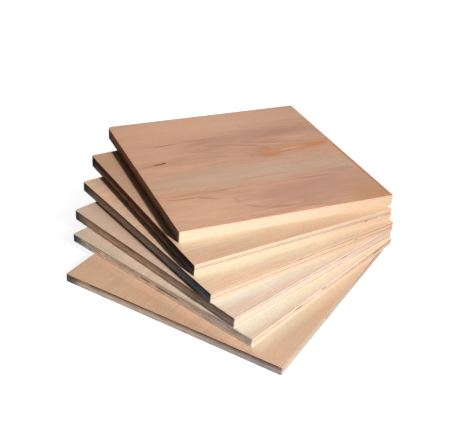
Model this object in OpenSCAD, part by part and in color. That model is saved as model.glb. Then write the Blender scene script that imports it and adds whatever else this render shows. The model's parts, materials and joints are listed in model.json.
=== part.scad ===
// A fanned stack of six square plywood sheets, the top one cut a little longer than the rest.
// The sheets lie flat on each other and are turned about one corner, the fan corner,
// so that every sheet shows a wedge of its face. The top sheet lies square to the axes,
// with its fan corner at the right front, and each sheet under it is turned further
// counter-clockwise. The origin is on the floor, under the middle of the stack.

/* [All sheets] */
// Length of a sheet along the grain of its face veneer
sheet_length = 400; // [200:1:1220]
// Width of a sheet across the grain of its face veneer
sheet_width = 400; // [200:1:1220]
// Width of the sanded bevel along every edge of a sheet
arris = 0.6; // [0.2:0.1:2]

/* [Top sheet] */
// Extra length of the top sheet, at the end away from the fan corner
top_extra = 4; // [0:1:30]
// Thickness of the top sheet
top_thickness = 21; // [9:0.5:30]

/* [Fifth sheet] */
// Thickness of the fifth sheet
fifth_thickness = 21; // [9:0.5:30]
// Turn of the fifth sheet from the top sheet
fifth_turn = 7.6; // [0:0.2:60]
// Distance of its fan corner to the right of the top sheet's
fifth_slip_x = -6; // [-30:1:30]
// Distance of its fan corner behind the top sheet's
fifth_slip_y = -12; // [-30:1:30]

/* [Fourth sheet] */
// Thickness of the fourth sheet
fourth_thickness = 18; // [9:0.5:30]
// Turn of the fourth sheet from the top sheet
fourth_turn = 13.4; // [0:0.2:60]
// Distance of its fan corner to the right of the top sheet's
fourth_slip_x = -5; // [-30:1:30]
// Distance of its fan corner behind the top sheet's
fourth_slip_y = -22; // [-30:1:30]

/* [Third sheet] */
// Thickness of the third sheet
third_thickness = 18; // [9:0.5:30]
// Turn of the third sheet from the top sheet
third_turn = 21.4; // [0:0.2:60]
// Distance of its fan corner to the right of the top sheet's
third_slip_x = -1; // [-30:1:30]
// Distance of its fan corner behind the top sheet's
third_slip_y = -15; // [-30:1:30]

/* [Second sheet] */
// Thickness of the second sheet
second_thickness = 15; // [9:0.5:30]
// Turn of the second sheet from the top sheet
second_turn = 26.2; // [0:0.2:60]
// Distance of its fan corner to the right of the top sheet's
second_slip_x = 1; // [-30:1:30]
// Distance of its fan corner behind the top sheet's
second_slip_y = -18; // [-30:1:30]

/* [Bottom sheet] */
// Thickness of the bottom sheet
bottom_thickness = 15; // [9:0.5:30]
// Turn of the bottom sheet from the top sheet
bottom_turn = 36; // [0:0.2:60]
// Distance of its fan corner to the right of the top sheet's
bottom_slip_x = -11; // [-30:1:30]
// Distance of its fan corner behind the top sheet's
bottom_slip_y = -15; // [-30:1:30]

/* [Hidden] */

// Places in the stack, counted from the floor up
BOTTOM = 0;
SECOND = 1;
THIRD = 2;
FOURTH = 3;
FIFTH = 4;
TOP = 5;

// Colours of the face veneers
PINK_TAN = [0.80, 0.62, 0.50];
TAN = [0.78, 0.61, 0.47];
ROSE = [0.82, 0.63, 0.51];
PALE_ROSE = [0.80, 0.67, 0.56];
PALE_GREY = [0.81, 0.72, 0.62];
WARM_TAN = [0.80, 0.60, 0.46];

length = [for (place = [BOTTOM:TOP]) place == TOP ? sheet_length + top_extra : sheet_length];
thickness = [
    bottom_thickness, second_thickness, third_thickness,
    fourth_thickness, fifth_thickness, top_thickness
];
turn = [bottom_turn, second_turn, third_turn, fourth_turn, fifth_turn, 0];
slip = [
    [bottom_slip_x, bottom_slip_y], [second_slip_x, second_slip_y], [third_slip_x, third_slip_y],
    [fourth_slip_x, fourth_slip_y], [fifth_slip_x, fifth_slip_y], [0, 0]
];

// Height of the face that a sheet lies on
function seat(place) = place == BOTTOM ? 0 : seat(place - 1) + thickness[place - 1];

// A rectangle from [0, 0] to [width, height] with its four corners cut back by the arris
function broken_rectangle(width, height) = [
    [arris, 0], [width - arris, 0], [width, arris], [width, height - arris],
    [width - arris, height], [arris, height], [0, height - arris], [0, arris]
];

function turned(point, angle) = [
    point.x * cos(angle) - point.y * sin(angle),
    point.x * sin(angle) + point.y * cos(angle)
];

// Outline of every sheet in plan, about the top sheet's fan corner
footprint = [
    for (place = [BOTTOM:TOP], point = broken_rectangle(length[place], sheet_width))
        turned([point.x - length[place], point.y], turn[place]) + slip[place]
];
footprint_x = [for (point = footprint) point.x];
footprint_y = [for (point = footprint) point.y];
middle = [min(footprint_x) + max(footprint_x), min(footprint_y) + max(footprint_y)] / 2;

// A flat sheet with square edges, every arris broken, on its own corner at the origin
module panel(panel_length, panel_thickness) {
    intersection() {
        linear_extrude(panel_thickness)
            polygon(broken_rectangle(panel_length, sheet_width));
        translate([0, sheet_width, 0]) rotate([90, 0, 0]) linear_extrude(sheet_width)
            polygon(broken_rectangle(panel_length, panel_thickness));
        rotate([90, 0, 90]) linear_extrude(panel_length)
            polygon(broken_rectangle(sheet_width, panel_thickness));
    }
}

// A sheet at its place in the fan
module laid_sheet(place) {
    translate([slip[place].x - middle.x, slip[place].y - middle.y, seat(place)])
        rotate(turn[place])
        translate([-length[place], 0, 0])
        panel(length[place], thickness[place]);
}

module bottom_sheet() { color(WARM_TAN) laid_sheet(BOTTOM); }
module second_sheet() { color(PALE_GREY) laid_sheet(SECOND); }
module third_sheet() { color(PALE_ROSE) laid_sheet(THIRD); }
module fourth_sheet() { color(ROSE) laid_sheet(FOURTH); }
module fifth_sheet() { color(TAN) laid_sheet(FIFTH); }
module top_sheet() { color(PINK_TAN) laid_sheet(TOP); }

bottom_sheet();
second_sheet();
third_sheet();
fourth_sheet();
fifth_sheet();
top_sheet();
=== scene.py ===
"""Fanned stack of plywood sheets, laid out as a Blender add-on.

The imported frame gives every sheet's place. Each sheet is glued up there ply by ply, with its glue
lines, core gaps and bruised edges, and gets a face veneer and ply edges of its own.
"""

import bisect
import json
import math
import random
from collections import namedtuple

import bmesh
import bpy
from mathutils import Matrix, Vector

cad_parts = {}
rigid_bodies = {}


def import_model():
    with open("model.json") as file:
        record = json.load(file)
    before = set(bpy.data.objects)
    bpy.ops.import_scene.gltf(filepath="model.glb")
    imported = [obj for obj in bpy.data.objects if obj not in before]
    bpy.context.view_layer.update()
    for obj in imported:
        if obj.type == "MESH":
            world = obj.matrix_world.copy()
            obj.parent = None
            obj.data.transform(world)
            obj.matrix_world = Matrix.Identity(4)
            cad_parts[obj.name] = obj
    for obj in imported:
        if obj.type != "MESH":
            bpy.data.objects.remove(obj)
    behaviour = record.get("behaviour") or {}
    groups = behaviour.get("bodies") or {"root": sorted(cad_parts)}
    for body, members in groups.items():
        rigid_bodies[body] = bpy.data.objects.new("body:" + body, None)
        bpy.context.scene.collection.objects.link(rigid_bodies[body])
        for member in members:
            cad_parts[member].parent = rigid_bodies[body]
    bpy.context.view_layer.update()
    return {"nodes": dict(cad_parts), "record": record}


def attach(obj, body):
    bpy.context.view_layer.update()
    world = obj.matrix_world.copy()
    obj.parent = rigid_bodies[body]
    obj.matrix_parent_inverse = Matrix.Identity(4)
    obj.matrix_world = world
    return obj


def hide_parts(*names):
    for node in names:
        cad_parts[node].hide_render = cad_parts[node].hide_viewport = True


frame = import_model()

bl_info = {
    "name": "Fanned Plywood Stack",
    "version": (1, 0, 0),
    "blender": (4, 5, 0),
    "location": "View3D > Sidebar > Plywood",
    "description": "Lays a fanned stack of plywood sheets around a packed frame and lights it",
    "category": "Add Mesh",
}

MM = 0.001
PIECE_NAME = "{}_plywood"
TONE = "ply_tone"

# Axes of a sheet: along its face grain, across it and up
ALONG, ACROSS, UP = range(3)
# Sides of a sheet, as seen with its face grain running left to right
FRONT, RIGHT, BACK, LEFT = range(4)
OUTWARD = {
    FRONT: Vector((0, -1, 0)), RIGHT: Vector((1, 0, 0)), BACK: Vector((0, 1, 0)), LEFT: Vector((-1, 0, 0)),
}
# Finishes of a sheet, in the order of its material slots
FACE, LONG_GRAIN, END_GRAIN, GLUE, HOLLOW = range(5)

# A gap in a core ply: its side, its ply from the top, where it starts along that side from the left or
# the front end, and how long and deep it is, in millimetres
Gap = namedtuple("Gap", "side ply start length depth")
# A mark in a face veneer: middle and half size along and across the grain in millimetres, tilt in
# degrees, colour, strength and how much the grain frays its outline
Mark = namedtuple("Mark", "along across half_along half_across tilt colour strength fray")
# How a sheet's left edge differs from its front edge: the tints of its upper and its lower half, which are
# painted shade and light, how much painted bluish shade greys it towards the near corner and how much it
# darkens along the upper rim, and the tint and the width in millimetres of the strip beside it on the sheet
# below, its painted crease shade on one sheet and painted light on others
Left = namedtuple("Left", "upper lower cold rim foot_tint foot_width")
# What sets one sheet apart from the others: its number of plies, the seed of its grain, the radius of its
# far left corner and the width in millimetres of the painted bounce light in front of it on the sheet below,
# how much its face grain and its plies stand out, how dark its glue lines are, which of them, from the top,
# are darkest, its left edge, its core gaps and its face's marks
Sheet = namedtuple(
    "Sheet", "plies seed corner pale_strip grain contrast glue_shade dark_lines left gaps marks")
# Where a sheet lies: its turn, its front left corner, its underside and its size
Place = namedtuple("Place", "turn corner bottom length width thickness")
# A patch of a sheet's map: the axes of the sheet that run along it and up it, its corner and its size
Patch = namedtuple("Patch", "along up corner size")
# A ring around a sheet: height over the underside, distance in from the outline, and the finish and the
# ply or glue line, from the underside, of the band below it
Ring = namedtuple("Ring", "height inset finish ply")
# A layer of noise: its cells to the metre along each axis, its step from the sheet's seed, and its detail
# and roughness
Noise = namedtuple("Noise", "cells step detail roughness")
# A lamp: its turn to the right of the front, its height and how far it is turned aside as angles, its
# distance and its width in metres
Lamp = namedtuple("Lamp", "name turn height distance size feather")

KNOT_BLACK = (0.10, 0.045, 0.028)
PITH_BROWN = (0.36, 0.165, 0.08)
RESIN_ORANGE = (0.58, 0.205, 0.08)
RESIN_PEACH = (0.60, 0.27, 0.135)
FLAME_PALE = (0.67, 0.40, 0.245)
SAP_GREY = (0.53, 0.372, 0.25)
SAP_PINK = (0.70, 0.41, 0.268)
HEART_ROSE = (0.46, 0.24, 0.16)
HEART_TAN = (0.485, 0.248, 0.124)
DIRT_BROWN = (0.17, 0.14, 0.12)
SAND = (0.495, 0.335, 0.226)
AMBER = (0.607, 0.349, 0.222)
FAWN = (0.605, 0.405, 0.28)
CREAM = (0.66, 0.44, 0.298)
DUSTY_ROSE = (0.575, 0.395, 0.285)
PEACH = (0.62, 0.378, 0.245)
APRICOT = (0.63, 0.368, 0.238)
OCHRE = (0.49, 0.29, 0.177)
COPPER = (0.597, 0.335, 0.20)
PALE_COPPER = (0.684, 0.392, 0.251)

# Broad tints first, then streaks, then thin lines and knots
TOP_MARKS = (
    Mark(190, 372, 300, 84, 0, SAP_PINK, 0.90, 0.2),
    Mark(45, 40, 120, 66, 0, SAP_PINK, 0.45, 0.2),
    Mark(40, 250, 110, 120, 0, SAP_PINK, 0.35, 0.2),
    Mark(200, 148, 330, 46, 0, SAP_GREY, 0.75, 0.2),
    Mark(290, 66, 160, 56, 4, HEART_ROSE, 0.70, 0.3),
    Mark(285, 290, 170, 24, 0, HEART_ROSE, 0.42, 0.3),
    Mark(60, 222, 90, 18, 0, HEART_TAN, 0.30, 0.3),
    Mark(372, 20, 60, 46, 10, HEART_TAN, 0.90, 0.3),
    Mark(258, 216, 32, 30, -10, HEART_TAN, 0.85, 0.4),
    Mark(330, 219, 84, 20, 2, RESIN_PEACH, 0.90, 0.4),
    Mark(366, 223, 34, 9, 2, RESIN_ORANGE, 0.75, 0.5),
    Mark(262, 205, 26, 7, 3, RESIN_ORANGE, 0.70, 0.5),
    Mark(309, 217, 22, 4, 8, FLAME_PALE, 0.80, 0.6),
    Mark(302, 211, 26, 2.0, 8, PITH_BROWN, 0.50, 0.6),
    Mark(342, 213, 20, 1.8, 4, PITH_BROWN, 0.45, 0.6),
    Mark(345, 231, 26, 1.8, -3, PITH_BROWN, 0.40, 0.6),
    Mark(265, 233, 8, 8, -30, PITH_BROWN, 0.30, 0.6),
    Mark(232, 252, 32, 3.0, -15, PITH_BROWN, 0.60, 0.4),
    Mark(172, 266, 40, 3.0, -6, PITH_BROWN, 0.45, 0.4),
    Mark(78, 293, 36, 3.4, 1, PITH_BROWN, 0.55, 0.4),
    Mark(150, 297, 40, 3.0, 2, PITH_BROWN, 0.38, 0.4),
    Mark(40, 95, 44, 3.0, -6, PITH_BROWN, 0.50, 0.4),
    Mark(88, 84, 24, 3.4, -18, PITH_BROWN, 0.55, 0.4),
    Mark(131, 62, 15, 3.4, -76, PITH_BROWN, 0.28, 0.4),
    Mark(150, 40, 22, 3.6, -32, PITH_BROWN, 0.48, 0.4),
    Mark(192, 26, 30, 3.4, -8, PITH_BROWN, 0.58, 0.4),
    Mark(246, 15, 30, 3.0, -4, PITH_BROWN, 0.45, 0.4),
    Mark(300, 104, 60, 3.4, -4, PITH_BROWN, 0.40, 0.4),
    Mark(210, 130, 70, 3.0, 1, PITH_BROWN, 0.22, 0.4),
    Mark(46, 223, 15, 2.8, 3, KNOT_BLACK, 0.80, 0.6),
    Mark(55, 226, 4, 2.4, 0, KNOT_BLACK, 0.75, 0.6),
    Mark(24, 220, 12, 1.6, 0, KNOT_BLACK, 0.25, 0.6),
    Mark(387, 15, 11, 6, 10, RESIN_ORANGE, 0.80, 0.4),
    Mark(399, 120, 3, 150, 0, PITH_BROWN, 0.60, 0.4),
)

# Tints of a face beside the left edge of the sheet above it: none, painted shade in the crease, painted light
UNTINTED = (1.0, 1.0, 1.0)
CREASE_SHADE = (0.70, 0.63, 0.58)
FOOT_LIGHT = (1.14, 1.16, 1.20)

SHEETS = {
    "bottom_sheet": Sheet(
        plies=7, seed=11, corner=1.5, pale_strip=0, grain=0.5, contrast=1.0, glue_shade=0.18,
        dark_lines=(0, 1),
        left=Left((1.3, 1.05, 0.9), (1.75, 1.65, 1.6), cold=0.5, rim=0.7, foot_tint=UNTINTED, foot_width=1),
        gaps=(Gap(FRONT, 3, 150, 14, 6), Gap(LEFT, 1, 8, 210, 2), Gap(LEFT, 1, 230, 120, 2)),
        marks=(
            Mark(150, 30, 220, 70, 0, SAND, 0.80, 0.2),
            Mark(270, 20, 170, 90, 0, AMBER, 0.90, 0.2),
        )),
    "second_sheet": Sheet(
        plies=7, seed=23, corner=1.5, pale_strip=26, grain=0.5, contrast=1.0, glue_shade=0.20,
        dark_lines=(1, 2, 3),
        left=Left((1.9, 1.95, 2.0), (2.0, 2.0, 2.0), cold=0.3, rim=0.5, foot_tint=FOOT_LIGHT, foot_width=20),
        gaps=(
            Gap(FRONT, 2, 108, 16, 7), Gap(FRONT, 1, 176, 16, 7), Gap(FRONT, 3, 340, 20, 7),
            Gap(LEFT, 3, 150, 50, 5), Gap(LEFT, 3, 214, 22, 5),
        ),
        marks=(
            Mark(390, 20, 190, 100, 0, FAWN, 0.85, 0.2),
            Mark(250, 15, 190, 100, 0, CREAM, 0.85, 0.2),
            Mark(0, 110, 5, 120, 0, DIRT_BROWN, 0.45, 0.2),
            Mark(1, 66, 4, 34, 0, DIRT_BROWN, 0.85, 0.2),
        )),
    "third_sheet": Sheet(
        plies=9, seed=37, corner=4, pale_strip=33, grain=0.6, contrast=0.9, glue_shade=0.14,
        dark_lines=(1, 6),
        left=Left(
            (1.45, 1.16, 0.88), (1.66, 1.46, 1.36), cold=0.55, rim=0.5, foot_tint=FOOT_LIGHT, foot_width=20),
        gaps=(Gap(FRONT, 2, 258, 12, 7), Gap(LEFT, 2, 232, 26, 6), Gap(LEFT, 6, 60, 12, 5)),
        marks=(
            Mark(20, 320, 130, 150, 0, DUSTY_ROSE, 0.80, 0.2),
            Mark(400, 20, 300, 120, 0, PEACH, 0.85, 0.2),
        )),
    "fourth_sheet": Sheet(
        plies=9, seed=41, corner=1.5, pale_strip=33, grain=0.6, contrast=0.9, glue_shade=0.16,
        dark_lines=(0, 1, 4),
        left=Left(
            (0.96, 0.80, 0.82), (1.56, 1.66, 1.90), cold=1.0, rim=0.5, foot_tint=CREASE_SHADE, foot_width=7),
        gaps=(Gap(FRONT, 3, 305, 8, 7), Gap(FRONT, 1, 176, 10, 4)),
        marks=(Mark(400, 20, 190, 90, 0, APRICOT, 0.85, 0.2),)),
    "fifth_sheet": Sheet(
        plies=9, seed=53, corner=4, pale_strip=34, grain=0.6, contrast=0.8, glue_shade=0.18,
        dark_lines=(2, 3),
        left=Left(
            (0.36, 0.10, 0.03), (0.90, 0.64, 0.50), cold=1.0, rim=0.2, foot_tint=FOOT_LIGHT, foot_width=10),
        gaps=(Gap(FRONT, 4, 340, 6, 7), Gap(LEFT, 5, 210, 30, 5)),
        marks=(
            Mark(10, 320, 110, 190, 0, OCHRE, 0.90, 0.2),
            Mark(300, 10, 190, 110, 0, COPPER, 0.85, 0.2),
            Mark(400, 5, 110, 90, 0, PALE_COPPER, 0.90, 0.2),
        )),
    "top_sheet": Sheet(
        plies=9, seed=67, corner=8, pale_strip=44, grain=1.0, contrast=0.4, glue_shade=0.04,
        dark_lines=(),
        left=Left(
            (1.15, 0.52, 0.28), (0.90, 0.61, 0.54), cold=0.6, rim=0.0, foot_tint=UNTINTED, foot_width=1),
        gaps=(Gap(LEFT, 4, 300, 18, 5),),
        marks=TOP_MARKS),
}
# Tint of end grain against long grain
END_TINT = (0.94, 0.88, 0.84)
# Tint of the edges towards the fan corner, and where it starts and is full as shares of the length
FAN_CORNER_TINT = (1.0, 0.79, 0.71)
FAN_CORNER_SPAN = (0.45, 0.95)
# How deep the left edge's painted tints reach in, and where its halves meet, as shares of the thickness
LEFT_DEPTH = (0.6 * MM, 2 * MM)
LEFT_SPLIT = (0.3, 0.7)
# Painted bluish shade greying the left edge towards the near corner: its tint, and where it is full and ends
COLD_SHADE_TINT = (0.24, 0.36, 0.64)
COLD_SHADE_SPAN = (20 * MM, 240 * MM)
# Tint of the left edge along its upper rim, and how far under the rim it starts and is full
RIM_TINT = (0.36, 0.26, 0.18)
RIM_DROP = (3.5 * MM, 1.5 * MM)
# Tint of the dirty patches on the left edge, their strength, and the noise at which they start and are full
PATCH_TINT = (0.42, 0.46, 0.56)
PATCH_STRENGTH = 0.75
PATCH_RANGE = (0.46, 0.68)
# How the edges darken at the far left corner: strength, where it is full and ends, how far noise moves that
CORNER_DARK_STRENGTH = 0.9
CORNER_DARK_SPAN = (14 * MM, 52 * MM)
CORNER_DARK_FRAY = 30 * MM
# Tints of a face veneer
GREYER = (0.97, 1.01, 1.01)
PINKER = (1.03, 0.99, 0.98)
GROWTH_LINE = (0.62, 0.50, 0.44)
PORE = (0.55, 0.42, 0.36)
# Painted bounce light in front of the sheet above: its tint, where it starts beside that sheet's left edge
# and where it ends behind its front
BOUNCE_TINT = (1.16, 1.45, 1.54)
BOUNCE_SPAN = (-12 * MM, 6 * MM)
BOUNCE_END = (0.0, 10 * MM)
# Where the painted strip beside the left edge of the sheet above starts at that sheet's near corner
FOOT_SPAN = (-2 * MM, 10 * MM)
# Share of a mark's size at which it has faded out, and a height that takes in all of a sheet
MARK_END = 1.15
MARK_HEIGHT = 1000
# Noise of a face veneer: how far the grain sways, its tones from broad to fine, its figure and its pores
WARP_NOISE = Noise((6, 10, 5), 0, 3.0, 0.5)
BROAD_NOISE = Noise((2.4, 13, 1), 1, 2.0, 0.5)
BAND_NOISE = Noise((5, 52, 1), 2, 3.0, 0.6)
STRAND_NOISE = Noise((8, 140, 1), 13, 3.0, 0.6)
STREAK_NOISE = Noise((16, 300, 1), 3, 3.0, 0.65)
FIGURE_NOISE = Noise((1.7, 9, 1), 4, 2.0, 0.5)
FIGURE_BREAKS = Noise((9, 40, 1), 5, 2.0, 0.5)
PORE_NOISE = Noise((120, 1700, 1), 6, 1.0, 0.5)
# Noise of the edges: fibres, patches, saw marks, dirt, breaks in the glue lines and the far corner's
# darkening
LONG_FIBRE = Noise((26, 26, 1300), 7, 3.0, 0.65)
END_FIBRE = Noise((1500, 1500, 900), 7, 3.0, 0.65)
PLY_PATCHES = Noise((14, 14, 230), 9, 3.0, 0.5)
SAW_MARKS = Noise((300, 300, 25), 10, 2.0, 0.5)
DIRT_PATCHES = Noise((40, 40, 260), 14, 4.0, 0.65)
GLUE_BREAKS = Noise((20, 20, 160), 12, 3.0, 0.5)
CORNER_DARK_NOISE = Noise((60, 60, 60), 10, 3.0, 0.5)
# Middle of the noise, and its values at which a feature starts and is full
NOISE_MIDDLE = 0.5
BROAD_RANGE = (0.35, 0.65)
FIGURE_RANGE = (0.3, 0.7)
PORE_RANGE = (0.58, 0.70)
GLUE_RANGE = (0.26, 0.48)
# How far the noise swings the brightness of a face and of an edge
BROAD_SWING = 0.16
BAND_SWING = 0.30
STRAND_SWING = 0.50
STREAK_SWING = 0.62
FIBRE_SWING = 0.30
PATCH_SWING = 0.34
PLY_SWING = 0.05
FACE_BRIGHTNESS = 1.0
EDGE_BRIGHTNESS = 0.99
# Sway of the grain, number, narrowness and strength of the growth lines, and strength of the pores
SWAY = 14 * MM
GROWTH_LINES = 8.0
GROWTH_NARROWING = 4.0
GROWTH_STRENGTH = 0.50
PORE_STRENGTH = 0.35
# Roughness and gloss of the finishes, and their relief: its strength, its depth, and the share in it of
# the streaks and of the saw marks
FACE_ROUGHNESS = 0.6
EDGE_ROUGHNESS = 0.7
HOLLOW_ROUGHNESS = 0.8
GLOSS = 0.25
RELIEF_STRENGTH = 0.6
FACE_RELIEF = 0.15 * MM
EDGE_RELIEF = 0.08 * MM
STREAK_RELIEF = 0.5
SAW_RELIEF = 0.5
# Sockets of a Mix node that take and give colours
MIX_FIRST = 6
MIX_SECOND = 7
MIX_RESULT = 2
# Map of a sheet for baking: its upper face, its underside and a strip for each edge
BAKE_MAP = "OFBake"
UPPER_PATCH = Patch(ALONG, ACROSS, (0.005, 0.335), (0.66, 0.66))
UNDER_PATCH = Patch(ALONG, ACROSS, (0.675, 0.675), (0.32, 0.32))
EDGE_PATCHES = {
    FRONT: Patch(ALONG, UP, (0.005, 0.005), (0.99, 0.075)),
    RIGHT: Patch(ACROSS, UP, (0.005, 0.085), (0.99, 0.075)),
    BACK: Patch(ALONG, UP, (0.005, 0.165), (0.99, 0.075)),
    LEFT: Patch(ACROSS, UP, (0.005, 0.245), (0.99, 0.075)),
}
# Gaps on the sides that the fan turns away, drawn at random for each sheet
HIDDEN_GAPS = 5
HIDDEN_GAP_LENGTH = (6, 34)
HIDDEN_GAP_DEPTH = (2, 6)
HIDDEN_GAP_MARGIN = 10
# A face is upright while the upward part of its normal is under this
UPRIGHT = 0.5
# How far a core glue line may lie off its place, as a share of a core ply
PLY_SHIFT = 0.06
# The ring in the middle of a rounded arris: its drop and its inset as shares of the arris
ROUND_DROP = 0.35
ROUND_INSET = 0.3
# Segments of a rounded corner, and how much of a side counts as near a corner
CORNER_SEGMENTS = 4
CORNER_SHARE = 0.1
# Spread of the bruises: share of a side, of the depth, of that depth downwards and of the reach
CHIP_SPOTS = (0.02, 0.98)
CHIP_DEPTHS = (0.3, 1)
CHIP_DROPS = (0.3, 0.8)
CHIP_REACHES = (0.4, 1)
# Saw wander: the strip beside a face that it leaves alone, the size of its waves, and the level of noise
# at which an edge stays put: the highest, so that the edges move only inwards
WANDER_MARGIN = 0.1 * MM
WANDER_SIZE = 0.012
WANDER_LEVEL = 1.0
# Angle up to which neighbouring faces are shaded as one
SMOOTH_ANGLE = math.radians(30)

# Floor: its size, its drop under the stack, where its shadow starts to fade and is gone, its glow at both
# and its colour where it is seen
WHITE = (1, 1, 1, 1)
FLOOR_SIZE = 12
FLOOR_DROP = 0.3 * MM
SHADOW_SPAN = (0.75, 1.15)
SHADOW_GLOW = (0.88, 1.0)
FLOOR_GREY = (0.5, 0.5, 0.5, 1)
# Surroundings: their brightest side, and how far they face it where they start and are full
BRIGHT_SIDE = (0.66, 0.2, 0.72)
BRIGHT_RANGE = (-0.25, 1.0)
SKY_COLOUR = (1, 0.98, 0.96, 1)
# Soft lamps, and the height over the floor that the lamps are aimed at
FILL_LAMP = Lamp("fill", math.radians(4), math.radians(30), 2.4, 1.2, math.radians(20))
BACK_LAMP = Lamp("back", math.radians(140), math.radians(40), 2.6, 1.4, 0)
AIM_HEIGHT = 0.08
# Width of the camera's sensor in millimetres
SENSOR_WIDTH = 36


def length_setting(name, default, most, description):
    """A length in metres, given here in millimetres."""
    return bpy.props.FloatProperty(
        name=name, description=description, default=default * MM, min=0, max=most * MM, precision=5,
        unit="LENGTH")


def angle_setting(name, default, description):
    """An angle, given here in degrees."""
    return bpy.props.FloatProperty(
        name=name, description=description, default=math.radians(default), subtype="ANGLE")


def number_setting(name, default, most, description):
    """A plain number from 0 up."""
    return bpy.props.FloatProperty(name=name, description=description, default=default, min=0, max=most)


def colour_setting(name, default, description):
    """A linear colour."""
    return bpy.props.FloatVectorProperty(
        name=name, description=description, default=default, size=3, min=0, max=1, subtype="COLOR")


def veneer_setting(which, default):
    """The colour of one sheet's face veneer."""
    return colour_setting(f"{which} sheet", default, f"Face veneer of the {which.lower()} sheet")


def edge_setting(which, default):
    """The colour of one sheet's sawn edges."""
    return colour_setting(f"{which} edge", default, f"Sawn edge of the {which.lower()} sheet")


class SheetSizes(bpy.types.PropertyGroup):
    """Sizes of the veneers and of the wear along a sheet's edges"""

    face_veneer: length_setting("Face veneer", 1.0, 3, "Thickness of the outer veneers")
    glue_line: length_setting("Glue line", 0.85, 2, "Height of the groove at a glue line")
    glue_depth: length_setting("Glue depth", 0.3, 1, "Depth of the groove at a glue line")
    ply_step: length_setting("Ply step", 0.16, 1, "How far one ply may lie behind the next")
    arris: length_setting("Arris", 0.5, 2, "Width of the sanded bevel along the faces")
    corner: length_setting("Corner", 1.2, 8, "Radius of the upright corners")
    cell: length_setting("Cell", 2, 20, "Length of one mesh face along an edge")
    border: length_setting("Border", 3, 20, "Width of the strip of a face that bruises reach into")
    saw_wander: length_setting("Saw wander", 0.3, 2, "How far the sawn edge wanders")
    chip_depth: length_setting("Chip depth", 0.5, 3, "Depth of the deepest bruise along a rim")
    chip_reach: length_setting("Chip reach", 3.2, 6, "Reach of the widest bruise along a rim")
    chips: bpy.props.IntProperty(
        name="Chips", description="Bruises along each rim of a sheet", default=14, min=0, max=80)


class SheetColours(bpy.types.PropertyGroup):
    """Colours of the face veneers and of the ply edges"""

    top_sheet: veneer_setting("Top", (0.57, 0.315, 0.202))
    fifth_sheet: veneer_setting("Fifth", (0.597, 0.371, 0.24))
    fourth_sheet: veneer_setting("Fourth", (0.677, 0.442, 0.296))
    third_sheet: veneer_setting("Third", (0.605, 0.452, 0.345))
    second_sheet: veneer_setting("Second", (0.572, 0.44, 0.316))
    bottom_sheet: veneer_setting("Bottom", (0.537, 0.338, 0.217))
    top_edge: edge_setting("Top", (0.546, 0.456, 0.334))
    fifth_edge: edge_setting("Fifth", (0.534, 0.447, 0.334))
    fourth_edge: edge_setting("Fourth", (0.523, 0.40, 0.298))
    third_edge: edge_setting("Third", (0.528, 0.44, 0.365))
    second_edge: edge_setting("Second", (0.574, 0.478, 0.385))
    bottom_edge: edge_setting("Bottom", (0.41, 0.352, 0.29))
    glue: colour_setting("Glue", (0.26, 0.16, 0.09), "Glue lines")
    # Inside of the core gaps: dust, and painted shade that stands in for their depth
    hollow: colour_setting("Hollow", (0.10, 0.055, 0.035), "Inside of the core gaps")
    # The colour that the edges darken to at the far left corner
    grime: colour_setting("Grime", (0.035, 0.028, 0.024), "Darkness on the corners that are handled")


class StageSettings(bpy.types.PropertyGroup):
    """Camera, lamps and floor"""

    camera_place: bpy.props.FloatVectorProperty(
        name="Camera place", description="Where the camera stands", default=(-0.5208, -1.0949, 0.8103),
        size=3, subtype="TRANSLATION", unit="LENGTH")
    camera_yaw: angle_setting("Yaw", 26.188, "Turn of the view to the right of straight ahead")
    camera_pitch: angle_setting("Pitch", 31.454, "How far the view looks down")
    camera_roll: angle_setting("Roll", 4.616, "Tilt of the camera")
    camera_lens: bpy.props.FloatProperty(
        name="Lens", description="Focal length on a sensor 36 mm wide", default=62.32, min=10, max=200)
    key_power: number_setting("Key power", 610, 2000, "Power of the key lamp")
    key_size: length_setting("Key size", 340, 2000, "Width of the key lamp")
    key_turn: angle_setting("Key turn", 16.6, "How far the key lamp stands to the right of the front")
    key_height: angle_setting("Key height", 29, "Elevation of the key lamp")
    key_distance: length_setting("Key distance", 4000, 9000, "Distance of the key lamp")
    key_feather: angle_setting("Key feather", 76, "How far the key lamp is turned past the stack's left side")
    fill_power: number_setting("Fill power", 4, 2000, "Power of the soft front lamp")
    back_power: number_setting("Back power", 20, 2000, "Power of the soft lamp behind the stack")
    ambient: number_setting("Ambient", 0.09, 2, "Brightness of the surroundings overhead")
    floor_colour: colour_setting("Floor", (0.42, 0.42, 0.42), "Floor as it lights the stack")


def sheet_place(node):
    """Where a sheet lies, read from its node: the normal of its left side gives its turn."""
    mesh = frame["nodes"][node].data
    upright = [face for face in mesh.polygons if abs(face.normal.z) < UPRIGHT]
    broad = max(face.area for face in upright) / 2
    left = min((face.normal for face in upright if face.area > broad), key=lambda normal: normal.x)
    turn = math.atan2(-left.y, -left.x)
    level = Matrix.Rotation(-turn, 3, "Z")
    corners = [level @ vertex.co for vertex in mesh.vertices]
    low = Vector([min(corner[axis] for corner in corners) for axis in range(3)])
    high = Vector([max(corner[axis] for corner in corners) for axis in range(3)])
    length, width, thickness = high - low
    corner = level.transposed() @ Vector((low.x, low.y, 0))
    return Place(turn, corner, low.z, length, width, thickness)


def line_shades(sheet):
    """How dark each glue line is, from the underside up."""
    lines = range(sheet.plies - 1)
    return [1.0 if line in sheet.dark_lines else sheet.glue_shade for line in reversed(lines)]


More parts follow.
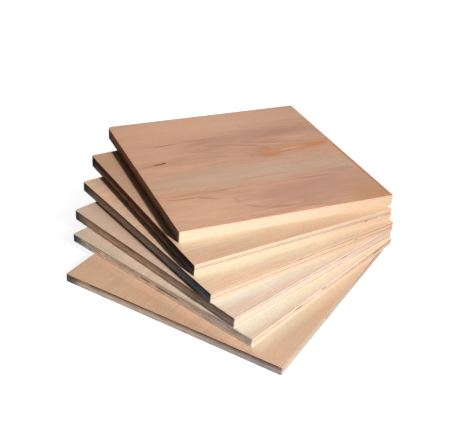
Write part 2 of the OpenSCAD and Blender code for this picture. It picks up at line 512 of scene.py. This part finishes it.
def edge_rings(place, sheet, sizes, dice):
    """The rings up a sheet's edge, from its underside to its face."""
    core = (place.thickness - 2 * sizes.face_veneer) / (sheet.plies - 2)
    half_glue = sizes.glue_line / 2
    last = sheet.plies - 1
    shades = line_shades(sheet)
    heights = [0, sizes.face_veneer]
    heights += [
        sizes.face_veneer + core * (ply + dice.uniform(-PLY_SHIFT, PLY_SHIFT)) for ply in range(1, last - 1)]
    heights += [place.thickness - sizes.face_veneer, place.thickness]
    rings = [Ring(0, sizes.border, FACE, 0), Ring(0, sizes.arris, FACE, 0)]
    rings.append(Ring(sizes.arris * ROUND_DROP, sizes.arris * ROUND_INSET, FACE, 0))
    for ply in range(sheet.plies):
        step = dice.uniform(0, sizes.ply_step)
        foot = sizes.arris if ply == 0 else heights[ply] + half_glue
        head = place.thickness - sizes.arris if ply == last else heights[ply + 1] - half_glue
        rings.append(Ring(foot, step, FACE if ply == 0 else GLUE, max(ply - 1, 0)))
        if 0 < ply < last:
            rings.append(Ring((foot + head) / 2, step, LONG_GRAIN, ply))
        rings.append(Ring(head, step, LONG_GRAIN, ply))
        if ply < last:
            groove = (sizes.ply_step + sizes.glue_depth) * shades[ply]
            rings.append(Ring(heights[ply + 1], groove, GLUE, ply))
    rings.append(Ring(place.thickness - sizes.arris * ROUND_DROP, sizes.arris * ROUND_INSET, FACE, last))
    rings.append(Ring(place.thickness, sizes.arris, FACE, last))
    rings.append(Ring(place.thickness, sizes.border, FACE, last))
    return rings


def side_of(normal):
    """The side of a sheet that a level normal looks out of."""
    if abs(normal.x) > abs(normal.y):
        return RIGHT if normal.x > 0 else LEFT
    return BACK if normal.y > 0 else FRONT


def select_parts(piece, kind, wanted):
    """In edit mode, selects the vertices, edges or faces that are wanted and nothing else."""
    bpy.ops.mesh.select_mode(type=kind)
    bpy.ops.mesh.select_all(action="DESELECT")
    mesh = bmesh.from_edit_mesh(piece.data)
    for part in {"VERT": mesh.verts, "EDGE": mesh.edges, "FACE": mesh.faces}[kind]:
        if wanted(part):
            part.select_set(True)
    bmesh.update_edit_mesh(piece.data)


def draw_outline(name, place, sheet, sizes):
    """Draws a sheet's outline, its corners rounded and its sides divided, and fills it."""
    bpy.ops.object.select_all(action="DESELECT")
    bpy.ops.mesh.primitive_plane_add(size=1, location=(place.length / 2, place.width / 2, 0))
    piece = bpy.context.object
    piece.name = name
    piece.data.name = name
    piece.scale = (place.length, place.width, 1)
    bpy.ops.object.transform_apply(location=True, rotation=True, scale=True)
    bpy.ops.object.mode_set(mode="EDIT")
    far_left = Vector((0, place.width, 0))
    nearby = place.width * CORNER_SHARE
    for worn, radius in ((True, sheet.corner * MM), (False, sizes.corner)):
        select_parts(piece, "VERT", lambda vertex: ((vertex.co - far_left).length < nearby) == worn)
        bpy.ops.mesh.bevel(offset=radius, segments=CORNER_SEGMENTS, affect="VERTICES")
    bpy.ops.mesh.select_all(action="SELECT")
    bpy.ops.mesh.delete(type="ONLY_FACE")
    select_parts(piece, "EDGE", lambda edge: edge.calc_length() > nearby)
    bpy.ops.mesh.subdivide(number_cuts=1)
    bpy.ops.mesh.subdivide(number_cuts=round(place.length / 2 / sizes.cell) - 1)
    bpy.ops.mesh.select_all(action="SELECT")
    bpy.ops.mesh.edge_face_add()
    return piece


def raise_plies(piece, place, rings):
    """Raises the filled outline ring by ring, each ring drawn in or let out to its inset."""
    middle = (place.length / 2, place.width / 2, 0)
    bpy.ops.mesh.select_mode(type="FACE")
    bpy.ops.mesh.select_all(action="SELECT")
    height, inset = 0, 0
    for ring in rings:
        if ring is not rings[0]:
            bpy.ops.mesh.extrude_region_move(
                TRANSFORM_OT_translate={"value": (0, 0, ring.height - height)})
        along = (place.length - 2 * ring.inset) / (place.length - 2 * inset)
        across = (place.width - 2 * ring.inset) / (place.width - 2 * inset)
        bpy.ops.transform.resize(value=(along, across, 1), center_override=middle)
        height, inset = ring.height, ring.inset
    bpy.ops.mesh.select_all(action="SELECT")
    bpy.ops.mesh.normals_make_consistent(inside=False)


def mark_plies(piece, sheet, rings, dice):
    """Gives each band its finish and its tone, by its height and its side."""
    bpy.ops.object.mode_set(mode="OBJECT")
    tones = [dice.uniform(-1, 1) for _ in range(sheet.plies)]
    shades = line_shades(sheet)
    heights = [ring.height for ring in rings]
    attribute = piece.data.attributes.new(TONE, "FLOAT", "FACE")
    for face in piece.data.polygons:
        upper = bisect.bisect_left(heights, face.center.z)
        if upper in (0, len(rings)):
            continue
        ring = rings[upper]
        face.material_index = ring.finish
        attribute.data[face.index].value = shades[ring.ply] if ring.finish == GLUE else tones[ring.ply]
        along_side = side_of(face.normal) in (FRONT, BACK)
        if ring.finish == LONG_GRAIN and along_side != (ring.ply % 2 == 0):
            face.material_index = END_GRAIN
    bpy.ops.object.mode_set(mode="EDIT")


def open_gaps(piece, sheet, rings, gaps):
    """Pushes runs of a core ply's edge inwards, as gaps between the strips of that ply."""
    for gap in gaps:
        ply = sheet.plies - 1 - gap.ply
        upper = max(
            index for index, ring in enumerate(rings) if ring.ply == ply and ring.finish == LONG_GRAIN)
        foot, head = rings[upper - 1].height, rings[upper].height
        start, end = gap.start * MM, (gap.start + gap.length) * MM

        def in_gap(face):
            middle = face.calc_center_median()
            along = middle.x if gap.side in (FRONT, BACK) else middle.y
            inside = foot < middle.z < head and start < along < end
            return inside and abs(face.normal.z) < UPRIGHT and side_of(face.normal) == gap.side

        select_parts(piece, "FACE", in_gap)
        bpy.ops.mesh.extrude_region_shrink_fatten(TRANSFORM_OT_shrink_fatten={"value": -gap.depth * MM})
        bpy.ops.mesh.select_more()
        piece.active_material_index = HOLLOW
        bpy.ops.object.material_slot_assign()


def bruise_rims(piece, place, sizes, dice):
    """Presses small bruises into the upper and the lower rim."""
    for down in (1, -1):
        rim = place.thickness if down > 0 else 0
        for _ in range(sizes.chips):
            side = dice.choice((FRONT, RIGHT, BACK, LEFT))
            share = dice.uniform(*CHIP_SPOTS)
            spot = {
                FRONT: Vector((share * place.length, 0, rim)),
                BACK: Vector((share * place.length, place.width, rim)),
                LEFT: Vector((0, share * place.width, rim)),
                RIGHT: Vector((place.length, share * place.width, rim)),
            }[side]
            bpy.ops.mesh.select_mode(type="VERT")
            bpy.ops.mesh.select_all(action="DESELECT")
            mesh = bmesh.from_edit_mesh(piece.data)
            nearest = min(mesh.verts, key=lambda vertex: (vertex.co - spot).length_squared)
            nearest.select_set(True)
            bmesh.update_edit_mesh(piece.data)
            depth = sizes.chip_depth * dice.uniform(*CHIP_DEPTHS)
            press = OUTWARD[side] * -depth + Vector((0, 0, -down * depth * dice.uniform(*CHIP_DROPS)))
            bpy.ops.transform.translate(
                value=press, use_proportional_edit=True, proportional_edit_falloff="SHARP",
                proportional_size=sizes.chip_reach * dice.uniform(*CHIP_REACHES))


def patch_of(face, place, sizes):
    """The patch of the map that a face of a sheet belongs to."""
    spot = face.center
    if abs(face.normal.z) > UPRIGHT and spot.z > place.thickness - sizes.arris:
        return UPPER_PATCH
    if abs(face.normal.z) > UPRIGHT and spot.z < sizes.arris:
        return UNDER_PATCH
    reach = {FRONT: spot.y, RIGHT: place.length - spot.x, BACK: place.width - spot.y, LEFT: spot.x}
    return EDGE_PATCHES[min(reach, key=reach.get)]


def unfold(piece, place, sizes):
    """Lays a sheet that still stands at the origin out flat in a map."""
    layer = piece.data.uv_layers.new(name=BAKE_MAP)
    size = (place.length, place.width, place.thickness)
    for face in piece.data.polygons:
        patch = patch_of(face, place, sizes)
        for loop, vertex in zip(face.loop_indices, face.vertices):
            spot = piece.data.vertices[vertex].co
            layer.uv[loop].vector = [
                corner + width * spot[axis] / size[axis]
                for corner, width, axis in zip(patch.corner, patch.size, (patch.along, patch.up))
            ]


def lay_in_place(piece, place):
    """Turns a sheet about its front left corner and sets it on its seat."""
    piece.rotation_euler = (0, 0, place.turn)
    piece.location = place.corner + Vector((0, 0, place.bottom))
    bpy.ops.object.transform_apply(location=True, rotation=True, scale=True)


def wander_edges(piece, place, sizes):
    """Lets the sawn edges wander a little, all but the two faces."""
    low, high = place.bottom + WANDER_MARGIN, place.bottom + place.thickness - WANDER_MARGIN
    group = piece.vertex_groups.new(name="edges")
    group.add([vertex.index for vertex in piece.data.vertices if low < vertex.co.z < high], 1, "REPLACE")
    texture = bpy.data.textures.new("saw_wander", "CLOUDS")
    texture.noise_scale = WANDER_SIZE
    modifier = piece.modifiers.new("saw_wander", "DISPLACE")
    modifier.texture = texture
    modifier.texture_coords = "LOCAL"
    modifier.vertex_group = group.name
    modifier.strength = sizes.saw_wander
    modifier.mid_level = WANDER_LEVEL
    bpy.ops.object.modifier_apply(modifier=modifier.name)
    piece.vertex_groups.clear()
    bpy.data.textures.remove(texture)


class Wiring:
    """Adds nodes to a material's tree and joins them up."""

    def __init__(self, tree):
        self.tree = tree
        tree.nodes.clear()

    def node(self, kind, sockets, **settings):
        """A node with its settings, each named or numbered socket joined to an output or given a value."""
        node = self.tree.nodes.new("ShaderNode" + kind)
        for name, value in settings.items():
            setattr(node, name, value)
        for key, value in sockets.items():
            if isinstance(value, bpy.types.NodeSocket):
                self.tree.links.new(value, node.inputs[key])
            else:
                node.inputs[key].default_value = value
        return node

    def math(self, operation, *values):
        """One sum or function of numbers."""
        return self.node("Math", dict(enumerate(values)), operation=operation).outputs[0]

    def sheet_spot(self, place):
        """Metres along the grain, across it and up, from a sheet's front left lower corner."""
        here = self.node("TexCoord", {}).outputs["Object"]
        sockets = {
            "Vector": here,
            "Location": place.corner + Vector((0, 0, place.bottom)),
            "Rotation": (0, 0, place.turn),
        }
        return self.node("Mapping", sockets, vector_type="TEXTURE").outputs[0]

    def product(self, first, *others):
        """Numbers multiplied together."""
        for other in others:
            first = self.math("MULTIPLY", first, other)
        return first

    def apart(self, vector):
        """A vector's three parts."""
        return self.node("SeparateXYZ", {0: vector}).outputs

    def noise(self, vector, layer, sheet):
        """A layer of noise from 0 to 1, with a sheet's own seed."""
        sockets = {
            "Vector": self.node("Mapping", {"Vector": vector, "Scale": layer.cells}).outputs[0],
            "W": sheet.seed + layer.step, "Scale": 1.0, "Detail": layer.detail, "Roughness": layer.roughness,
        }
        return self.node("TexNoise", sockets, noise_dimensions="4D").outputs[0]

    def ease(self, value, low, high):
        """Eases from 0 to 1 as a value goes from low to high."""
        sockets = {"Value": value, "From Min": low, "From Max": high}
        return self.node("MapRange", sockets, interpolation_type="SMOOTHSTEP").outputs[0]

    def fade(self, value, low, high):
        """Eases from 1 to 0 as a value goes from low to high."""
        return self.math("SUBTRACT", 1.0, self.ease(value, low, high))

    def mix(self, factor, first, second, blend="MIX"):
        """Two colours mixed or blended."""
        sockets = {0: factor}
        for key, colour in ((MIX_FIRST, first), (MIX_SECOND, second)):
            sockets[key] = colour if isinstance(colour, bpy.types.NodeSocket) else (*colour, 1.0)
        return self.node("Mix", sockets, data_type="RGBA", blend_type=blend).outputs[MIX_RESULT]

    def tint(self, factor, colour, tint):
        """A colour multiplied by a tint, as far as a factor says."""
        return self.mix(factor, colour, tint, "MULTIPLY")

    def shade(self, colour, mean, *swings):
        """A colour at a mean brightness that swings with values from 0 to 1, each given with its swing."""
        bright = mean - sum(swing for _, swing in swings) * NOISE_MIDDLE
        for value, swing in swings:
            bright = self.math("MULTIPLY_ADD", value, swing, bright)
        return self.tint(1.0, colour, self.node("CombineColor", dict.fromkeys(range(3), bright)).outputs[0])

    def wood(self, colour, roughness, height=None, depth=0):
        """A matt wooden surface, with relief from a height where one is given."""
        sockets = {"Base Color": colour, "Roughness": roughness, "Specular IOR Level": GLOSS}
        if height is not None:
            bump = self.node("Bump", {"Height": height, "Strength": RELIEF_STRENGTH, "Distance": depth})
            sockets["Normal"] = bump.outputs[0]
        surface = self.node("BsdfPrincipled", sockets)
        self.node("OutputMaterial", {"Surface": surface.outputs[0]})


def new_material(name):
    """A material with an empty tree, and the wiring to fill it with."""
    material = bpy.data.materials.new(name)
    material.use_nodes = True
    return material, Wiring(material.node_tree)


def tinted(colour, tint):
    """A colour multiplied by a tint."""
    return tuple(part * share for part, share in zip(colour, tint))


def face_material(node, place, sheet, colour, above):
    """Rotary cut veneer: broad tones, streaks, growth lines, pores and the marks of one sheet."""
    material, wiring = new_material(f"{node}_face_veneer")
    spot = wiring.sheet_spot(place)
    warp = wiring.math("SUBTRACT", wiring.noise(spot, WARP_NOISE, sheet), NOISE_MIDDLE)
    shift = wiring.node("CombineXYZ", {"Y": wiring.math("MULTIPLY", warp, SWAY)}).outputs[0]
    grain = wiring.node("VectorMath", {0: spot, 1: shift}, operation="ADD").outputs[0]

    layers = (BROAD_NOISE, BAND_NOISE, STRAND_NOISE, STREAK_NOISE)
    broad, band, strand, streak = (wiring.noise(grain, layer, sheet) for layer in layers)
    tone = wiring.mix(wiring.ease(broad, *BROAD_RANGE), tinted(colour, GREYER), tinted(colour, PINKER))
    tone = wiring.shade(
        tone, FACE_BRIGHTNESS, (broad, BROAD_SWING), (band, BAND_SWING * sheet.grain),
        (strand, STRAND_SWING * sheet.grain), (streak, STREAK_SWING * sheet.grain))
    figure = wiring.math("MULTIPLY", wiring.noise(grain, FIGURE_NOISE, sheet), GROWTH_LINES)
    line = wiring.math("POWER", wiring.math("FRACT", figure), GROWTH_NARROWING)
    patchy = wiring.ease(wiring.noise(grain, FIGURE_BREAKS, sheet), *FIGURE_RANGE)
    line = wiring.product(line, patchy, GROWTH_STRENGTH * sheet.grain)
    tone = wiring.mix(line, tone, tinted(colour, GROWTH_LINE))
    for mark in sheet.marks:
        tone = add_mark(wiring, tone, grain, streak, mark)
    # Painted bounce light in front of the sheet above, and painted light and shade beside its left edge
    if above is not None:
        tone = by_sheet_above(wiring, tone, sheet_place(above), SHEETS[above])
    pores = wiring.ease(wiring.noise(grain, PORE_NOISE, sheet), *PORE_RANGE)
    tone = wiring.mix(wiring.math("MULTIPLY", pores, PORE_STRENGTH), tone, tinted(colour, PORE))
    height = wiring.math("SUBTRACT", wiring.math("MULTIPLY", streak, STREAK_RELIEF), pores)
    wiring.wood(tone, FACE_ROUGHNESS, height, FACE_RELIEF)
    return material


def by_sheet_above(wiring, tone, above, sheet):
    """Painted bounce light in front of the sheet above, and the painted strip beside that sheet's left edge.
    """
    along, out, _ = wiring.apart(wiring.sheet_spot(above))
    width = sheet.left.foot_width * MM
    # Painted bounce light from the pale front edge of the sheet above
    bounce_light = wiring.product(
        wiring.fade(out, *BOUNCE_END), wiring.ease(out, -sheet.pale_strip * MM, 0.0),
        wiring.ease(along, *BOUNCE_SPAN))
    tone = wiring.tint(bounce_light, tone, BOUNCE_TINT)
    # Beside the left edge of the sheet above: painted crease shade by the fourth, painted light by the
    # second, third and fifth
    foot = wiring.product(wiring.ease(along, -width, -width / 2), wiring.ease(out, *FOOT_SPAN))
    return wiring.tint(foot, tone, sheet.left.foot_tint)


def add_mark(wiring, tone, grain, streak, mark):
    """Stains a veneer along its grain around a spot."""
    sockets = {
        "Vector": grain,
        "Location": (mark.along * MM, mark.across * MM, 0),
        "Rotation": (0, 0, math.radians(mark.tilt)),
        "Scale": (mark.half_along * MM, mark.half_across * MM, MARK_HEIGHT),
    }
    around = wiring.node("Mapping", sockets, vector_type="TEXTURE").outputs[0]
    reach = wiring.node("VectorMath", {0: around}, operation="LENGTH").outputs["Value"]
    uneven = wiring.math("SUBTRACT", streak, NOISE_MIDDLE)
    ragged = wiring.math("MULTIPLY_ADD", uneven, 2 * mark.fray, reach)
    inside = wiring.math("MULTIPLY", wiring.fade(ragged, mark.fray, MARK_END), mark.strength)
    return wiring.mix(inside, tone, mark.colour)


def edge_material(node, place, sheet, finish, colour, grime):
    """A sawn ply edge, long grain or end grain, with its ply's tone, saw marks and a darker far left corner.
    """
    label, fibres = ("long_grain", LONG_FIBRE) if finish == LONG_GRAIN else ("end_grain", END_FIBRE)
    material, wiring = new_material(f"{node}_{label}")
    spot = wiring.sheet_spot(place)
    fibre, patch, saw = (wiring.noise(spot, layer, sheet) for layer in (fibres, PLY_PATCHES, SAW_MARKS))
    ply = wiring.node("Attribute", {}, attribute_name=TONE).outputs["Fac"]
    swings = ((ply, PLY_SWING), (fibre, FIBRE_SWING), (patch, PATCH_SWING))
    # The tones of the plies swing around 0, not around the middle of the noise
    mean = EDGE_BRIGHTNESS + PLY_SWING * sheet.contrast * NOISE_MIDDLE
    tone = wiring.shade(colour, mean, *((value, swing * sheet.contrast) for value, swing in swings))
    start, end = (share * place.length for share in FAN_CORNER_SPAN)
    tone = wiring.tint(wiring.ease(wiring.apart(spot)[ALONG], start, end), tone, FAN_CORNER_TINT)
    # Painted shade and light on the left edge
    tone = left_edge(wiring, tone, spot, place, sheet)
    tone = wiring.mix(handled(wiring, spot, place, sheet), tone, grime)
    wiring.wood(tone, EDGE_ROUGHNESS, wiring.math("MULTIPLY_ADD", saw, SAW_RELIEF, fibre), EDGE_RELIEF)
    return material


def left_edge(wiring, tone, spot, place, sheet):
    """Tints a left edge: painted shade and light by height and towards the near corner, dirt patches, a dark
    rim.
    """
    along, across, up = wiring.apart(spot)
    left = wiring.fade(along, *LEFT_DEPTH)
    low, high = (share * place.thickness for share in LEFT_SPLIT)
    # Painted shade and light by height on the left edge, which lies turned from the key lamp
    tone = wiring.tint(left, tone, wiring.mix(wiring.ease(up, low, high), sheet.left.lower, sheet.left.upper))
    start, end = (place.thickness - drop for drop in RIM_DROP)
    layers = (
        (wiring.ease(wiring.noise(spot, DIRT_PATCHES, sheet), *PATCH_RANGE), PATCH_STRENGTH, PATCH_TINT),
        # Painted bluish shade towards the near corner
        (wiring.fade(across, *COLD_SHADE_SPAN), sheet.left.cold, COLD_SHADE_TINT),
        (wiring.ease(up, start, end), sheet.left.rim, RIM_TINT),
    )
    for amount, strength, tint in layers:
        tone = wiring.tint(wiring.product(amount, strength, left), tone, tint)
    return tone


def glue_material(node, place, sheet, edge, glue, grime):
    """Glue lines: dark ones show as broken lines, and the others are near the colour of the plies."""
    material, wiring = new_material(f"{node}_glue_line")
    spot = wiring.sheet_spot(place)
    broken = wiring.ease(wiring.noise(spot, GLUE_BREAKS, sheet), *GLUE_RANGE)
    shade = wiring.node("Attribute", {}, attribute_name=TONE).outputs["Fac"]
    tone = wiring.mix(wiring.math("MULTIPLY", shade, broken), edge, glue)
    # Painted shade and light on the left edge
    tone = left_edge(wiring, tone, spot, place, sheet)
    tone = wiring.mix(handled(wiring, spot, place, sheet), tone, grime)
    wiring.wood(tone, EDGE_ROUGHNESS)
    return material


def handled(wiring, spot, place, sheet):
    """How much an edge is darkened: most at the far left corner, less further from it."""
    corner = (0, place.width, place.thickness / 2)
    reach = wiring.node("VectorMath", {0: spot, 1: corner}, operation="DISTANCE").outputs["Value"]
    reach = wiring.math("MULTIPLY_ADD", wiring.noise(spot, CORNER_DARK_NOISE, sheet), CORNER_DARK_FRAY, reach)
    return wiring.math("MULTIPLY", wiring.fade(reach, *CORNER_DARK_SPAN), CORNER_DARK_STRENGTH)


def plain_material(name, colour):
    """A material of one colour."""
    material, wiring = new_material(name)
    wiring.wood((*colour, 1.0), HOLLOW_ROUGHNESS)
    return material


def finish_sheet(piece, node, place, sheet, colours):
    """Gives a sheet its five finishes."""
    grime = tuple(colours.grime)
    edge = tuple(getattr(colours, node.replace("_sheet", "_edge")))
    end_tint = tuple(1 - (1 - part) * sheet.contrast for part in END_TINT)
    finishes = {
        FACE: face_material(node, place, sheet, tuple(getattr(colours, node)), sheet_above(node)),
        LONG_GRAIN: edge_material(node, place, sheet, LONG_GRAIN, edge, grime),
        END_GRAIN: edge_material(node, place, sheet, END_GRAIN, tinted(edge, end_tint), grime),
        GLUE: glue_material(node, place, sheet, edge, tuple(colours.glue), grime),
        # Core gaps: dark with dust and with painted shade of their depth
        HOLLOW: plain_material(f"{node}_core_gap", tuple(colours.hollow)),
    }
    for finish in sorted(finishes):
        piece.data.materials.append(finishes[finish])


def sheet_above(node):
    """The sheet that lies on a sheet, if there is one."""
    nodes = list(SHEETS)
    upper = nodes.index(node) + 1
    return nodes[upper] if upper < len(nodes) else None


def hidden_gaps(place, sheet, dice):
    """Gaps on the right and the back side, which the fan turns away."""
    gaps = []
    for _ in range(HIDDEN_GAPS):
        length = dice.randint(*HIDDEN_GAP_LENGTH)
        side = dice.choice((RIGHT, BACK))
        reach = place.length if side == BACK else place.width
        start = dice.uniform(HIDDEN_GAP_MARGIN, reach / MM - length - HIDDEN_GAP_MARGIN)
        ply = dice.randint(1, sheet.plies - 2)
        gaps.append(Gap(side, ply, start, length, dice.uniform(*HIDDEN_GAP_DEPTH)))
    return gaps


def sheet_items():
    """The sheets to choose from."""
    words = {node: node.replace("_", " ") for node in SHEETS}
    return [(node, label.capitalize(), f"Lay the {label}") for node, label in words.items()]


class PLYWOOD_OT_lay_sheet(bpy.types.Operator):
    """Glue up one plywood sheet at its place in the stack"""

    bl_idname = "plywood.lay_sheet"
    bl_label = "Lay Sheet"
    bl_options = {"REGISTER", "UNDO"}

    node: bpy.props.EnumProperty(
        name="Sheet", description="Which sheet of the stack to lay", items=sheet_items())

    def execute(self, context):
        sizes, colours = context.scene.plywood_sizes, context.scene.plywood_colours
        sheet = SHEETS[self.node]
        place = sheet_place(self.node)
        dice = random.Random(sheet.seed)
        rings = edge_rings(place, sheet, sizes, dice)
        piece = draw_outline(PIECE_NAME.format(self.node), place, sheet, sizes)
        finish_sheet(piece, self.node, place, sheet, colours)
        raise_plies(piece, place, rings)
        mark_plies(piece, sheet, rings, dice)
        open_gaps(piece, sheet, rings, [*sheet.gaps, *hidden_gaps(place, sheet, dice)])
        bruise_rims(piece, place, sizes, dice)
        bpy.ops.object.mode_set(mode="OBJECT")
        unfold(piece, place, sizes)
        lay_in_place(piece, place)
        wander_edges(piece, place, sizes)
        bpy.ops.object.shade_smooth_by_angle(angle=SMOOTH_ANGLE)
        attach(piece, "root")
        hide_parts(self.node)
        slot_of(self.node)
        return {"FINISHED"}


def slot_of(node):
    """The material slot that the record gives a node."""
    return next(part["material_slot"] for part in frame["record"]["subparts"] if part["node"] == node)


class PLYWOOD_OT_set_stage(bpy.types.Operator):
    """Set the floor, the surroundings, the lamps and the camera around the stack"""

    bl_idname = "plywood.set_stage"
    bl_label = "Set Stage"
    bl_options = {"REGISTER", "UNDO"}

    def execute(self, context):
        stage = context.scene.plywood_stage
        lay_floor(stage)
        light_surroundings(context.scene, stage)
        hang_lamps(stage)
        place_camera(context.scene, stage)
        context.scene.view_settings.view_transform = "Standard"
        return {"FINISHED"}


def lay_floor(stage):
    """A floor that is seen as white with a faint shadow around the stack, and lights it as a darker one."""
    bpy.ops.object.select_all(action="DESELECT")
    bpy.ops.mesh.primitive_plane_add(size=FLOOR_SIZE, location=(0, 0, -FLOOR_DROP))
    floor = bpy.context.object
    floor.name = "floor"
    material, wiring = new_material("floor")
    path = wiring.node("LightPath", {})
    here = wiring.node("TexCoord", {}).outputs["Object"]
    away = wiring.node("VectorMath", {0: here}, operation="LENGTH").outputs["Value"]
    sockets = {"Value": away}
    sockets.update(zip(("From Min", "From Max", "To Min", "To Max"), (*SHADOW_SPAN, *SHADOW_GLOW)))
    strength = wiring.node("MapRange", sockets, interpolation_type="SMOOTHSTEP").outputs[0]
    glow = wiring.node("Emission", {"Color": WHITE, "Strength": strength}).outputs[0]
    matt = wiring.node("BsdfDiffuse", {"Color": FLOOR_GREY}).outputs[0]
    seen = wiring.node("AddShader", {0: glow, 1: matt}).outputs[0]
    unseen = wiring.node("BsdfDiffuse", {"Color": (*stage.floor_colour, 1)}).outputs[0]
    surface = wiring.node("MixShader", {0: path.outputs["Is Camera Ray"], 1: unseen, 2: seen}).outputs[0]
    wiring.node("OutputMaterial", {"Surface": surface})
    floor.data.materials.append(material)


def light_surroundings(scene, stage):
    """White surroundings to the eye; what they give the stack falls off towards the left."""
    world = bpy.data.worlds.new("surroundings")
    world.use_nodes = True
    scene.world = world
    wiring = Wiring(world.node_tree)
    sky = wiring.node("TexCoord", {}).outputs["Generated"]
    bright_side = Vector(BRIGHT_SIDE).normalized()
    facing = wiring.node("VectorMath", {0: sky, 1: bright_side}, operation="DOT_PRODUCT").outputs["Value"]
    low, high = BRIGHT_RANGE
    sockets = {"Value": facing, "From Min": low, "From Max": high, "To Min": 0.0, "To Max": stage.ambient}
    strength = wiring.node("MapRange", sockets).outputs[0]
    light = wiring.node("Background", {"Color": SKY_COLOUR, "Strength": strength}).outputs[0]
    white = wiring.node("Background", {"Color": WHITE, "Strength": 1.0}).outputs[0]
    seen = wiring.node("LightPath", {}).outputs["Is Camera Ray"]
    mixed = wiring.node("MixShader", {0: seen, 1: light, 2: white}).outputs[0]
    wiring.node("OutputWorld", {"Surface": mixed})


def hang_lamp(lamp, power):
    """A square lamp around the stack, aimed at it and then turned aside by the feather."""
    level = math.cos(lamp.height)
    direction = Vector((math.sin(lamp.turn) * level, -math.cos(lamp.turn) * level, math.sin(lamp.height)))
    light = bpy.data.lights.new(lamp.name, "AREA")
    light.size = lamp.size
    light.energy = power
    holder = bpy.data.objects.new(lamp.name, light)
    bpy.context.scene.collection.objects.link(holder)
    holder.location = direction * lamp.distance + Vector((0, 0, AIM_HEIGHT))
    aim = Matrix.Rotation(lamp.feather, 3, "Z") @ -direction
    holder.rotation_euler = aim.to_track_quat("-Z", "Y").to_euler()


def hang_lamps(stage):
    """A small key lamp low at the front, a broad fill beside it and a soft one behind the stack."""
    key = Lamp(
        "key", stage.key_turn, stage.key_height, stage.key_distance, stage.key_size, stage.key_feather)
    for lamp, power in ((key, stage.key_power), (FILL_LAMP, stage.fill_power), (BACK_LAMP, stage.back_power)):
        hang_lamp(lamp, power)


def place_camera(scene, stage):
    """The camera, turned and tilted as the stage settings say."""
    camera = bpy.data.cameras.new("camera")
    camera.sensor_width = SENSOR_WIDTH
    camera.lens = stage.camera_lens
    holder = bpy.data.objects.new("camera", camera)
    scene.collection.objects.link(holder)
    view = Matrix.Rotation(-stage.camera_yaw, 4, "Z")
    view = view @ Matrix.Rotation(math.pi / 2 - stage.camera_pitch, 4, "X")
    view = view @ Matrix.Rotation(stage.camera_roll, 4, "Z")
    holder.matrix_world = Matrix.Translation(Vector(stage.camera_place)) @ view
    scene.camera = holder


class PLYWOOD_PT_stack(bpy.types.Panel):
    """Settings of the plywood stack"""

    bl_idname = "PLYWOOD_PT_stack"
    bl_label = "Plywood Stack"
    bl_space_type = "VIEW_3D"
    bl_region_type = "UI"
    bl_category = "Plywood"

    def draw(self, context):
        for settings in (
                context.scene.plywood_sizes, context.scene.plywood_colours, context.scene.plywood_stage):
            column = self.layout.column(align=True)
            for name in settings.__annotations__:
                column.prop(settings, name)
        self.layout.operator_menu_enum(PLYWOOD_OT_lay_sheet.bl_idname, "node")
        self.layout.operator(PLYWOOD_OT_set_stage.bl_idname)


CLASSES = (
    SheetSizes, SheetColours, StageSettings, PLYWOOD_OT_lay_sheet, PLYWOOD_OT_set_stage, PLYWOOD_PT_stack)


def register():
    for each in CLASSES:
        bpy.utils.register_class(each)
    bpy.types.Scene.plywood_sizes = bpy.props.PointerProperty(type=SheetSizes)
    bpy.types.Scene.plywood_colours = bpy.props.PointerProperty(type=SheetColours)
    bpy.types.Scene.plywood_stage = bpy.props.PointerProperty(type=StageSettings)


def unregister():
    del bpy.types.Scene.plywood_stage
    del bpy.types.Scene.plywood_colours
    del bpy.types.Scene.plywood_sizes
    for each in reversed(CLASSES):
        bpy.utils.unregister_class(each)


def main():
    register()
    for node in SHEETS:
        bpy.ops.plywood.lay_sheet(node=node)
    bpy.ops.plywood.set_stage()


if __name__ == "__main__":
    main()
